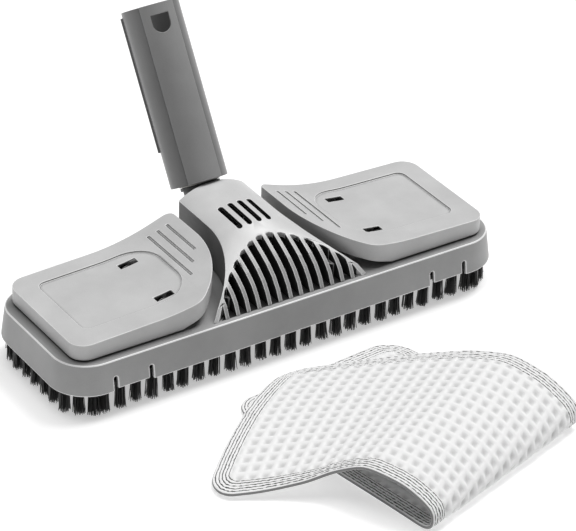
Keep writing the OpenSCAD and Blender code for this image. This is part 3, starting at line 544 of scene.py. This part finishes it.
def cloth_sheet():
    """The middle surface of the folded cloth: its places, flat places and edge distances."""
    fine = 0.42
    coarse = 0.92
    across = graded(CLOTH_W, fine, coarse, HEM + 1.2)
    along = graded(CLOTH_L, fine, coarse, HEM + 1.2)
    end = np.minimum(along, CLOTH_L - along)
    inset = np.where(end < CLOTH_CORNER,
                     CLOTH_CORNER - np.sqrt(np.maximum(CLOTH_CORNER**2 - (CLOTH_CORNER - end) ** 2, 0)), 0)
    b = (inset[:, None] + (CLOTH_W - 2 * inset[:, None]) * across[None, :] / CLOTH_W) / CLOTH_W
    a = np.broadcast_to(along[:, None] / CLOTH_L, b.shape)
    number = np.linspace(0, len(LEFT_EDGE) - 1, 1500)
    edges = []
    for points in (LEFT_EDGE, RIGHT_EDGE):
        run, curve = smooth_edge(points)
        edges.append([np.interp(number, curve[:, 3], part) for part in (run / run[-1], *curve[:, :3].T)])
    left, right = edges
    spread = np.linspace(0, 1, 160)
    whole = np.array([np.interp(along / CLOTH_L, (1 - t) * left[0] + t * right[0], number) for t in spread])
    at = b * (len(spread) - 1)
    low = np.minimum(at.astype(int), len(spread) - 2)
    rows = np.arange(len(along))[:, None]
    place = whole[low, rows] * (1 - (at - low)) + whole[low + 1, rows] * (at - low)
    mid = np.empty(b.shape + (3,))
    for i in range(3):
        mid[..., i] = (np.interp(place, number, left[i + 1]) * (1 - b)
                       + np.interp(place, number, right[i + 1]) * b)
    bow = 4 * b * (1 - b) * step(a, 0.62, 1.0)
    mid[..., 0] += HEM_BOW[0] * bow
    mid[..., 1] += HEM_BOW[1] * bow
    rests = UPPER_LAYER + LOWER_DEPTH * step(over_lower_layer(mid[..., 0], mid[..., 1]), -5.0, 1.5)
    past_fold = 0.56
    lift = np.where(a > past_fold, np.maximum(rests - mid[..., 2], 0), 0)
    mid[..., 2] += lift
    mid[..., 2] = np.maximum(mid[..., 2], FLOOR_LAYER)
    x, y = b * CLOTH_W, a * CLOTH_L
    return mid, x, y, hem_distance(x, y)


def make_cloth():
    """The loose waffle cloth, folded once, with its rolled and stitched hem."""
    mid, x, y, edge = cloth_sheet()
    edge = np.maximum(edge, 0)
    rows, cols = x.shape
    along = np.gradient(mid, axis=0)
    across = np.gradient(mid, axis=1)
    normal = np.cross(across, along)
    normal /= np.maximum(np.linalg.norm(normal, axis=2, keepdims=True), 1e-9)
    half, height = relief(x, y, edge)
    sides = [mid + normal * half[..., None], mid - normal * half[..., None]]
    floor_gap = 0.05
    for side in sides:
        side[..., 2] = np.maximum(side[..., 2], floor_gap)
    turn = math.radians(CLOTH_TURN)
    spots = np.concatenate([side.reshape(-1, 3) for side in sides])
    u, v = spots[:, 0].copy(), spots[:, 1].copy()
    spots[:, 0] = CLOTH_ORIGIN[0] + u * math.cos(turn) - v * math.sin(turn)
    spots[:, 1] = CLOTH_ORIGIN[1] + u * math.sin(turn) + v * math.cos(turn)
    index = np.arange(rows * cols).reshape(rows, cols)
    quads = np.stack([index[:-1, :-1], index[:-1, 1:], index[1:, 1:], index[1:, :-1]], axis=-1).reshape(-1, 4)
    under = quads[:, ::-1] + rows * cols
    rim = np.concatenate([index[0, :], index[1:, -1], index[-1, -2::-1], index[-2:0:-1, 0]])
    after = np.roll(rim, -1)
    wall = np.stack([rim, rim + rows * cols, after + rows * cols, after], axis=-1)
    faces = np.concatenate([quads, under, wall])
    mesh = bpy.data.meshes.new("waffle_cloth")
    mesh.from_pydata((spots * MM).tolist(), [], faces.tolist())
    # The waffle height also goes to the material, which paints shade in the pits.
    for name, pair in (("flat", (x, y)), ("hem", (edge, height))):
        layer = mesh.uv_layers.new(name=name)
        values = np.stack([np.tile(part.ravel(), 2) for part in pair], axis=1)
        corner = np.empty(len(mesh.loops), dtype=np.int32)
        mesh.loops.foreach_get("vertex_index", corner)
        layer.data.foreach_set("uv", values[corner].astype(np.float32).ravel())
    for poly in mesh.polygons:
        poly.use_smooth = True
    obj = bpy.data.objects.new("waffle_cloth", mesh)
    bpy.context.scene.collection.objects.link(obj)
    paint(obj, waffle_cotton())
    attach(obj, "cloth")
    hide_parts("cleaning_cloth")


def waffle_cotton():
    """White waffle-woven microfibre: bright ridges, pits painted grey as shade, fine threads, and dark hem
    stitches.
    """
    n = Nodes("waffle_cotton")
    hem = n.add("SeparateXYZ", {"Vector": n.add("UVMap", uv_map="hem").outputs["UV"]})
    flat = n.add("SeparateXYZ", {"Vector": n.add("UVMap", uv_map="flat").outputs["UV"]})
    edge, height = hem.outputs["X"], hem.outputs["Y"]
    # Painted shade: the grey deepens with the waffle's depth, with a little random tone.
    soft = n.noise(260, 3)
    level = n.math("MULTIPLY_ADD", soft, 0.16, n.math("SUBTRACT", height, 0.08))
    body = n.ramp(level, [(0.0, grey(0.58)), (0.35, grey(0.72)), (0.75, grey(0.88))])
    wobble = n.math("MULTIPLY", n.math("SUBTRACT", n.noise(420, 2), 0.5), 1.1)
    row = n.math("FRACT", n.math("DIVIDE", n.math("ADD", edge, wobble), STITCH_STEP))
    thread = n.math("LESS_THAN", n.math("ABSOLUTE", n.math("SUBTRACT", row, 0.05)), 0.15)
    thread = n.math("MAXIMUM", thread, n.math("GREATER_THAN", row, 0.92))
    in_hem = n.math("MULTIPLY", n.math("LESS_THAN", edge, HEM - 0.5), n.math("GREATER_THAN", edge, 0.9))
    broken = n.ramp(n.noise(700, 2), [(0.26, grey(0.5)), (0.36, grey(1.0))])
    dark_lines = n.math("MULTIPLY", n.math("MULTIPLY", thread, in_hem), broken)
    # A dark line along the outermost 0.4 mm of the cut edge.
    dark_lines = n.math("MAXIMUM", dark_lines, n.math("MULTIPLY", n.math("LESS_THAN", edge, 0.4), 0.75))
    n.link(n.mixed(dark_lines, body, grey(0.06)), "Base Color")
    across = n.math("SINE", n.math("MULTIPLY", flat.outputs["X"], THREAD_TURN))
    along = n.math("SINE", n.math("MULTIPLY", flat.outputs["Y"], THREAD_TURN))
    threads = n.math("MULTIPLY_ADD", n.math("MULTIPLY", across, along), 0.5, n.noise(1800, 3))
    n.link(n.bump(threads, 0.45, 0.22 * MM), "Normal")
    n.shader.inputs["Roughness"].default_value = 0.92
    n.shader.inputs["Specular IOR Level"].default_value = 0.15
    n.shader.inputs["Sheen Weight"].default_value = 0.25
    return n.mat


# ---------------------------------------------------------------- camera, light, floor

CAMERA_TARGET = Vector((20.41, -7.13, 30.37)) * MM
CAMERA_DISTANCE = 1750 * MM
CAMERA_AZIMUTH = -33.727
CAMERA_ELEVATION = 31.598
CAMERA_ROLL = 1.455


def towards(azimuth, elevation):
    """The direction of a place, in degrees. Azimuth 0 is the front, and it grows towards the right."""
    a, e = math.radians(azimuth), math.radians(elevation)
    return Vector((math.sin(a) * math.cos(e), -math.cos(a) * math.cos(e), math.sin(e)))


def make_camera():
    """A long lens that looks at the head from its left front corner."""
    cam = bpy.data.cameras.new("camera")
    cam.lens = 192.0
    cam.sensor_width = 36.0
    cam.sensor_fit = "HORIZONTAL"
    cam.clip_start = 0.1
    cam.clip_end = 20.0
    obj = bpy.data.objects.new("camera", cam)
    bpy.context.scene.collection.objects.link(obj)
    back = towards(CAMERA_AZIMUTH, CAMERA_ELEVATION)
    level = Vector((0, 0, 1)).cross(back).normalized()
    right = Matrix.Rotation(math.radians(CAMERA_ROLL), 3, back) @ level
    turn = Matrix((right, back.cross(right), back)).transposed()
    obj.matrix_world = Matrix.Translation(CAMERA_TARGET + back * CAMERA_DISTANCE) @ turn.to_4x4()
    bpy.context.scene.camera = obj


def sun(name, azimuth, elevation, strength, softness):
    """A broad, even light that comes from the given direction."""
    light = bpy.data.lights.new(name, "SUN")
    light.energy = strength
    light.angle = math.radians(softness)
    obj = bpy.data.objects.new(name, light)
    bpy.context.scene.collection.objects.link(obj)
    obj.rotation_mode = "QUATERNION"
    obj.rotation_quaternion = towards(azimuth, elevation).to_track_quat("Z", "Y")


def make_light():
    """A dim white surround with two soft lights from above."""
    world = bpy.data.worlds.new("studio")
    world.use_nodes = True
    background = world.node_tree.nodes["Background"]
    background.inputs["Color"].default_value = WHITE
    background.inputs["Strength"].default_value = 0.16
    bpy.context.scene.world = world
    sun("key", azimuth=100, elevation=60, strength=1.9, softness=24)
    sun("top", azimuth=190, elevation=80, strength=1.3, softness=40)
    bpy.context.scene.view_settings.view_transform = "Standard"


def make_floor():
    """A wide sheet of white paper, lit from behind a little, just below the bristles."""
    mesh = bpy.data.meshes.new("floor")
    half = 6.0
    corners = [(-half, -half, 0), (half, -half, 0), (half, half, 0), (-half, half, 0)]
    mesh.from_pydata(corners, [], [(0, 1, 2, 3)])
    floor = bpy.data.objects.new("floor", mesh)
    floor.location = (0, 0, -0.2 * MM)
    bpy.context.scene.collection.objects.link(floor)
    n = Nodes("floor_paper")
    n.link(n.ramp(n.noise(3, 2), [(0.3, grey(0.66)), (0.7, grey(0.69))]), "Base Color")
    n.shader.inputs["Roughness"].default_value = 0.9
    n.shader.inputs["Emission Color"].default_value = WHITE
    n.shader.inputs["Emission Strength"].default_value = 0.46
    paint(floor, n.mat)


make_camera()
make_light()
make_floor()
paint_nodes()
soften("base_housing", 0.7, edge_highlight=HOUSING_EDGE_HIGHLIGHT)
soften("clamp_left", 0.4, edge_highlight=CLAMP_EDGE_HIGHLIGHT, join=0.12)
soften("clamp_right", 0.4, edge_highlight=CLAMP_EDGE_HIGHLIGHT, join=0.12)
soften("vented_cover", 0.35, segments=2, angle=38, edge_highlight=COVER_EDGE_HIGHLIGHT)
soften("neck_tube", 0.35, segments=2)
soften("neck_front_panel", 0.3, segments=2)
make_bristles()
make_cloth()
